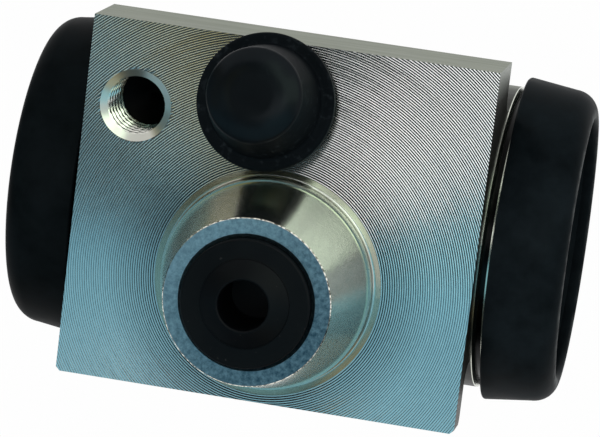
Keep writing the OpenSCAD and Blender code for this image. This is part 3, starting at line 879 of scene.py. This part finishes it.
def spring_half(side, sign):
    """Half of the coil, swept as a round wire from the middle to one expander."""
    run = 2 * (SPRING_HALF - WIRE_R)
    points = []
    for k in range(SPRING_STEPS + 1):
        t = 0.5 + sign * 0.5 * k / SPRING_STEPS
        rise = run * (t - SPRING_CLOSING * math.sin(2 * math.pi * t) / (2 * math.pi)) - run / 2
        turn = 2 * math.pi * SPRING_TURNS * t
        for i in range(WIRE_SIDES):
            a = turn_angle(i, WIRE_SIDES)
            r = SPRING_R + WIRE_R * math.cos(a)
            x = rise + WIRE_R * math.sin(a)
            points.append((x, BORE_Y + r * math.sin(turn), BORE_Z - r * math.cos(turn)))
    last = SPRING_STEPS * WIRE_SIDES
    faces = [tuple(range(WIRE_SIDES)), tuple(range(last, last + WIRE_SIDES))]
    for k in range(SPRING_STEPS):
        near, far = k * WIRE_SIDES, (k + 1) * WIRE_SIDES
        for i in range(WIRE_SIDES):
            j = (i + 1) % WIRE_SIDES
            faces.append((near + i, far + i, far + j, near + j))
    obj = make_piece(f"return_spring_{side}", points, faces, [SPRING_STEEL])
    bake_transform(obj)
    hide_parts("return_spring")


spring_half("left", -1)
spring_half("right", 1)


# Bleed cap, with S along the bleed screw
CAP_BASE = 1.718
CAP_RIM_T = 1.2
CAP_RIM_R = 5.95
CAP_EDGE_R = 0.35
CAP_ROOT_R = 4.85
CAP_ROOT_END_DEG = 187
CAP_SHOULDER_R = 3.66
CAP_SHOULDER_ROUND = 0.45
CAP_SHOULDER_S = 8.26
CAP_SHOULDER_START_DEG = 5
CAP_CROWN_R = 1.6
CAP_CROWN_TOP = 9.26
CAP_CROWN_SLOPE_DEG = 30.0
CAP_SOCKET_R = 4.1
CAP_NIPPLE_R = 3.06
CAP_SOCKET_S = 4.21
CAP_CROWN_IN_S = 7.61


def bleed_cap():
    """Rubber cap with a thick rim, a tapered side, a rounded shoulder and a low crown."""
    rim_top = CAP_BASE + CAP_RIM_T
    edge = CAP_EDGE_R
    slope = math.radians(CAP_CROWN_SLOPE_DEG)
    crown_start = 90 - CAP_CROWN_SLOPE_DEG
    crown_edge_r = CAP_SHOULDER_R + CAP_SHOULDER_ROUND * math.sin(slope)
    dome_r = (crown_edge_r - CAP_CROWN_R) / math.sin(slope)
    shoulder = (CAP_SHOULDER_R, CAP_SHOULDER_S)
    outline = (
        [(CAP_SOCKET_R, CAP_BASE)]
        + arc((CAP_RIM_R - edge, CAP_BASE + edge), edge, -90, 0, 6)
        + arc((CAP_RIM_R - edge, rim_top - edge), edge, 0, 90, 6)
        + arc((CAP_ROOT_R + edge, rim_top + edge), edge, 270, CAP_ROOT_END_DEG, 6)
        + arc(shoulder, CAP_SHOULDER_ROUND, CAP_SHOULDER_START_DEG, crown_start, 8)
        + arc((CAP_CROWN_R, CAP_CROWN_TOP - dome_r), dome_r, crown_start, 90, 14)[1:]
        + [(0, CAP_CROWN_TOP), (0, CAP_CROWN_IN_S), (CAP_NIPPLE_R, CAP_CROWN_IN_S)]
        + [(CAP_NIPPLE_R, CAP_SOCKET_S), (CAP_SOCKET_R, CAP_SOCKET_S)]
    )
    obj = lathe("bleed_cap_moulding", outline, axis_matrix(BLEED_POINT, BLEED_AXIS), CAP_RUBBER)
    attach(obj, "bleed_cap")
    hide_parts("bleed_cap")


bleed_cap()


# Transport plug in the inlet port
PLUG_SHANK_R = 5.41
PLUG_HEAD_R = 5.58
PLUG_EDGE_R = 0.2
PLUG_HUB_R = 3.85
PLUG_HUB_EDGE_R = 0.12
PLUG_HUB_SLOPE_DEG = 66
PLUG_DISH_DEPTH = 0.2
PLUG_HUB_FOOT_DEPTH = 0.16
PLUG_HOLE_R = 2.15
PLUG_HOLE_EDGE_R = 0.18
PLUG_HOLE_DEPTH = 6.0
PLUG_HEAD_RISE = 0.8
PLUG_HEAD_SINK = 0.09
PLUG_HEAD_TOP = BOSS_TOP + PLUG_HEAD_RISE
PLUG_HEAD_SEAT = BOSS_TOP - PLUG_HEAD_SINK


def port_plug():
    """Plug with a dished head, a raised hub and a blind hole."""
    shank_end = -PLUG_HIGH.y
    hub_top = -PLUG_LOW.y
    edge = PLUG_EDGE_R
    hub_edge = (PLUG_HUB_R - PLUG_HUB_EDGE_R, PLUG_HEAD_TOP - PLUG_HUB_EDGE_R)
    hole_edge = (PLUG_HOLE_R + PLUG_HOLE_EDGE_R, hub_top - PLUG_HOLE_EDGE_R)
    outline = (
        [(0, shank_end)]
        + arc((PLUG_SHANK_R - edge, shank_end + edge), edge, -90, 0, 4)
        + [(PLUG_SHANK_R, PLUG_HEAD_SEAT), (PLUG_HEAD_R, PLUG_HEAD_SEAT)]
        + arc((PLUG_HEAD_R - edge, PLUG_HEAD_TOP - edge), edge, 0, 90, 6)
        + [(PLUG_HUB_R + PLUG_HUB_EDGE_R, PLUG_HEAD_TOP - PLUG_DISH_DEPTH)]
        + [(PLUG_HUB_R, PLUG_HEAD_TOP - PLUG_HUB_FOOT_DEPTH)]
        + arc(hub_edge, PLUG_HUB_EDGE_R, 0, PLUG_HUB_SLOPE_DEG, 4)
        + arc(hole_edge, PLUG_HOLE_EDGE_R, PLUG_HUB_SLOPE_DEG, 180, 6)
        + [(PLUG_HOLE_R, hub_top - PLUG_HOLE_DEPTH), (0, hub_top - PLUG_HOLE_DEPTH)]
    )
    obj = lathe("port_plug_moulding", outline, axis_matrix((0, 0, 0), (0, -1, 0)), PLUG_PLASTIC)
    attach(obj, "port_plug")
    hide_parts("port_plug")


port_plug()


# Studio, in metres
FLOOR_DROP = 0.30
FLOOR_SIZE = 8.0
FLOOR_LEVEL = CAD_BOX[0].z - FLOOR_DROP
FLOOR_PAINT = grey(0.9)
FLOOR_WHITE = 0.985
ROOM_WHITE = 1.0
ROOM_STRENGTH = 0.45
WHITE = grey(1.0)
LIGHT_TARGET = Vector((0, 0, 0.005))


def white_to_the_eye(n, plain, white_kind, white_share):
    """A shader that is white where the camera sees it, directly or mirrored, and plain otherwise."""
    path = n.add("ShaderNodeLightPath").outputs
    seen = n.math("MAXIMUM", path["Is Camera Ray"], path["Is Glossy Ray"])
    clear = n.math("MAXIMUM", seen, path["Is Transmission Ray"])
    glow = n.add(white_kind, {"Color": WHITE, "Strength": 1.0})
    shaders = {0: n.times(clear, white_share), 1: plain.outputs[0], 2: glow.outputs[0]}
    return n.add("ShaderNodeMixShader", shaders).outputs[0]


def stage_plane(name, place, size):
    """A flat stage piece, the nodes of its material and the socket that its shader goes to."""
    w, h = size[0] / 2, size[1] / 2
    mesh = bpy.data.meshes.new(name)
    mesh.from_pydata([(-w, -h, 0), (w, -h, 0), (w, h, 0), (-w, h, 0)], [], [(0, 1, 2, 3)])
    mesh.materials.append(bpy.data.materials.new(name))
    n = Nodes(mesh.materials[0])
    n.tree.nodes.remove(n.tree.nodes["Principled BSDF"])
    plane = bpy.data.objects.new(name, mesh)
    plane.location = place
    bpy.context.scene.collection.objects.link(plane)
    return plane, n, n.tree.nodes["Material Output"].inputs["Surface"]


def make_floor():
    floor, n, surface = stage_plane("floor", (0, 0, FLOOR_LEVEL), (FLOOR_SIZE, FLOOR_SIZE))
    paint = n.add("ShaderNodeBsdfDiffuse", {"Color": FLOOR_PAINT})
    n.put(surface, white_to_the_eye(n, paint, "ShaderNodeEmission", FLOOR_WHITE))


def make_world():
    world = bpy.data.worlds.new("studio")
    bpy.context.scene.world = world
    n = Nodes(world)
    room = n.tree.nodes["Background"]
    n.put(room.inputs["Color"], WHITE)
    n.put(room.inputs["Strength"], ROOM_STRENGTH)
    surface = n.tree.nodes["World Output"].inputs["Surface"]
    n.put(surface, white_to_the_eye(n, room, "ShaderNodeBackground", ROOM_WHITE))


def softbox(name, place, size, power, mirrored=True):
    """A rectangular lamp that faces the object."""
    lamp = bpy.data.lights.new(name, "AREA")
    lamp.shape = "RECTANGLE"
    lamp.size, lamp.size_y = size
    lamp.energy = power
    obj = bpy.data.objects.new(name, lamp)
    obj.location = place
    obj.visible_glossy = mirrored
    obj.rotation_euler = (LIGHT_TARGET - obj.location).to_track_quat("-Z", "Y").to_euler()
    bpy.context.scene.collection.objects.link(obj)


def room_card(name, place, size, normal, colour):
    """A card that only the metal and the gloss of the rubber mirror."""
    card, n, surface = stage_plane(name, place, size)
    n.put(surface, n.add("ShaderNodeEmission", {"Color": (*colour, 1)}).outputs[0])
    card.rotation_euler = Vector(normal).to_track_quat("Z", "Y").to_euler()
    card.visible_camera = False
    card.visible_diffuse = False
    card.visible_shadow = False


make_floor()
make_world()
softbox("key_light", place=(0.152, -0.95, 0.200), size=(0.50, 0.27), power=0.68)
softbox("fill_light", place=(-0.15, -1.2, 0.12), size=(1.0, 0.8), power=4.0, mirrored=False)

# Cards of the room that the metal mirrors: name, place, size, normal and colour
CARD_STEP = 0.0005
TABLE_LEVEL = FLOOR_LEVEL + CARD_STEP
PATCH_LEVEL = TABLE_LEVEL + CARD_STEP
DARK_WALL_Y = -3.0
WALL_Y = -2.95
UP, BACK, INWARD = (0, 0, 1), (0, 1, 0), (1, 0, 0)
DARK = (0.04, 0.05, 0.05)
CREAM = (1.85, 2.14, 1.78)
ROOM_CARDS = [
    ("near_table", (0.0, -0.21, TABLE_LEVEL), (3.0, 0.38), UP, DARK),
    ("gold_table", (0.225, -0.29, PATCH_LEVEL), (0.35, 0.18), UP, (0.60, 0.50, 0.28)),
    ("side_table", (-0.82, -0.15, PATCH_LEVEL), (1.35, 0.20), UP, (0.28, 0.42, 0.48)),
    ("cool_table", (0.0, -0.80, TABLE_LEVEL), (4.0, 0.80), UP, (0.30, 0.61, 0.73)),
    ("mid_table", (-0.3, -1.45, TABLE_LEVEL), (5.0, 0.50), UP, (0.18, 0.42, 0.53)),
    ("far_table", (-0.30, -2.28, PATCH_LEVEL), (0.9, 1.44), UP, DARK),
    ("left_table", (-1.775, -2.35, TABLE_LEVEL), (2.05, 1.30), UP, (0.20, 0.39, 0.48)),
    ("right_table", (1.35, -2.35, TABLE_LEVEL), (2.4, 1.30), UP, (0.38, 0.84, 0.98)),
    ("right_mid_table", (1.175, -1.45, PATCH_LEVEL), (2.05, 0.50), UP, (0.31, 0.71, 0.85)),
    ("dark_wall", (0.0, DARK_WALL_Y, 1.49), (6.0, 3.6), BACK, DARK),
    ("right_wall", (1.2, WALL_Y, -0.07), (2.1, 0.48), BACK, (0.44, 0.94, 1.08)),
    ("right_high_wall", (1.95, WALL_Y, 0.47), (1.7, 0.60), BACK, (0.34, 0.46, 0.50)),
    ("low_left_wall", (-1.9, WALL_Y, -0.01), (1.9, 0.60), BACK, (0.17, 0.31, 0.36)),
    ("left_wall", (-1.905, WALL_Y, 0.61), (0.63, 0.64), BACK, (0.40, 0.62, 0.66)),
    ("gold_wall", (-1.305, WALL_Y, 0.61), (0.57, 0.64), BACK, (0.68, 0.72, 0.54)),
    ("olive_wall", (-1.60, WALL_Y, 1.58), (1.2, 1.25), BACK, (0.42, 0.37, 0.15)),
    ("far_left_wall", (-1.60, 0.20, 0.20), (2.4, 1.0), INWARD, (0.10, 0.16, 0.18)),
    ("left_side_wall", (-3.05, -1.50, 0.90), (3.0, 2.4), INWARD, (0.22, 0.20, 0.10)),
    ("cream_wall", (1.02, -1.50, 0.95), (1.20, 1.00), (-1.02, 1.5, -0.95), CREAM),
    ("cream_top", (0.25, -1.20, 1.20), (0.40, 0.75), (-0.25, 1.2, -1.2), CREAM),
]
for room_row in ROOM_CARDS:
    room_card(*room_row)

# Camera at the photograph's viewpoint
CAMERA_PLACE = Vector((57.952, -332.757, 71.854)) * MM
CAMERA_RIGHT = Vector((0.97514755, 0.18697572, 0.11885847))
CAMERA_DOWN = Vector((0.15085433, -0.16742489, -0.97427505))
CAMERA_BACK = CAMERA_RIGHT.cross(-CAMERA_DOWN)
CAMERA_LENS = 240.0
CAMERA_SENSOR = 36.0
camera = bpy.data.objects.new("camera", bpy.data.cameras.new("camera"))
camera.data.lens = CAMERA_LENS
camera.data.sensor_width = CAMERA_SENSOR
camera_turn = Matrix((CAMERA_RIGHT, -CAMERA_DOWN, CAMERA_BACK)).transposed().to_4x4()
camera.matrix_world = Matrix.Translation(CAMERA_PLACE) @ camera_turn
bpy.context.scene.collection.objects.link(camera)
bpy.context.scene.camera = camera
bpy.context.scene.view_settings.view_transform = "Standard"
